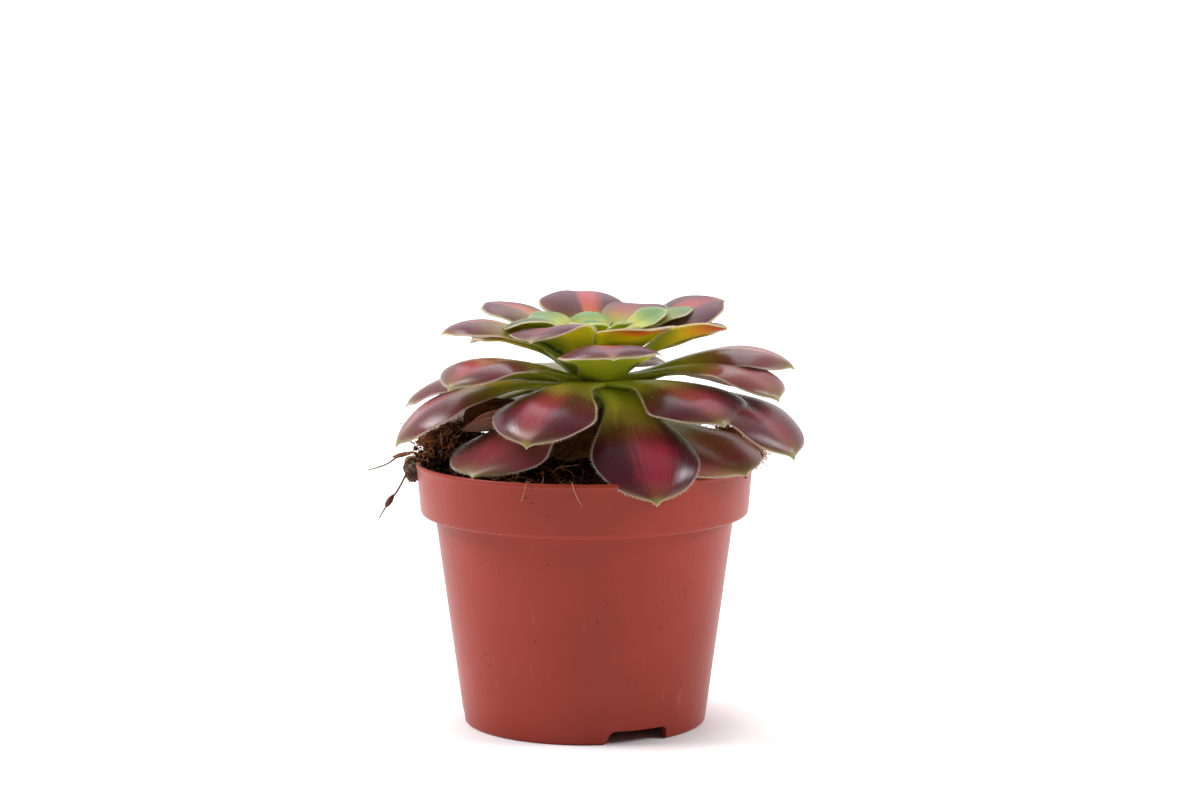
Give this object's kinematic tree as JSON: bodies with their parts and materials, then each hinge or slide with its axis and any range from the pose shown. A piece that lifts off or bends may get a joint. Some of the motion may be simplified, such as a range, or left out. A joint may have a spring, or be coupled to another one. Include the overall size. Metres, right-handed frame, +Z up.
{
  "type": "potted succulent plant",
  "caption": "Potted aeonium: an open rosette of fleshy purple and green leaves on a short stem, in a round terracotta-coloured nursery pot of coir soil.",
  "frame": {"origin": "on the table, under the middle of the whole plant and pot, less than 1 mm from the pot's own axis", "axes": "+Z up, the pot's axis; -Y towards the viewer of the picture; +X to the viewer's right, the way the leaves spread widest"},
  "size_m": [0.1529, 0.1206, 0.1514],
  "materials": {
    "pot": "satin terracotta-coloured polypropylene, faintly scuffed",
    "soil": "dark coir and peat with orange-brown fibres and a few white grains",
    "stem": "green-brown stem with leaf scars",
    "leaf_lower": "waxy dark purple over a pink-red middle, green neck, pale hairy edge",
    "leaf_upper": "waxy grey-purple top, yellow to orange-red and green underneath, pale hairy edge",
    "leaf_inner": "waxy grey-green with a yellow middle and a cream edge",
    "dry_leaf": "dull wrinkled brown, dead and curled",
    "crumb": "crumbly grey-brown peat and coir",
    "root": "dry wiry brown root"
  },
  "bodies": {
    "root": {"pot": "pot", "soil": "soil", "stem": "stem", "front": "leaf_lower", "front_left": "leaf_lower", "right_front": "leaf_lower", "low_right": "leaf_lower", "right_low": "leaf_lower", "low_left": "leaf_lower", "left_low": "leaf_lower", "left": "leaf_lower", "left_back": "leaf_lower", "back_left_low": "leaf_lower", "right": "leaf_lower", "right_mid": "leaf_lower", "back_right_low": "leaf_lower", "rear_low_right": "leaf_lower", "rear_low_left": "leaf_lower", "rear_left": "leaf_lower", "rear_right": "leaf_lower", "rear_mid": "leaf_lower", "up_front": "leaf_upper", "up_front_left": "leaf_upper", "up_front_right": "leaf_upper", "up_right": "leaf_upper", "up_left": "leaf_upper", "up_left_back": "leaf_upper", "up_back_left": "leaf_upper", "up_back": "leaf_upper", "up_back_right": "leaf_upper", "up_right_back": "leaf_upper", "right_back": "leaf_upper", "back_right": "leaf_upper", "in_right": "leaf_inner", "in_front_right": "leaf_inner", "in_left": "leaf_inner", "in_back_left": "leaf_inner", "in_back": "leaf_inner", "in_front": "leaf_inner", "in_left_front": "leaf_inner", "bud_1": "leaf_inner", "bud_2": "leaf_inner", "bud_3": "leaf_inner", "bud_4": "leaf_inner", "bud_5": "leaf_inner", "dry_leaf_left": "dry_leaf", "dry_leaf_front": "dry_leaf", "dry_leaf_right": "dry_leaf", "dry_leaf_rear": "dry_leaf", "clod_left": "crumb", "coir_right": "crumb", "root_upper": "root", "root_lower": "root"}
  },
  "joints": []
}
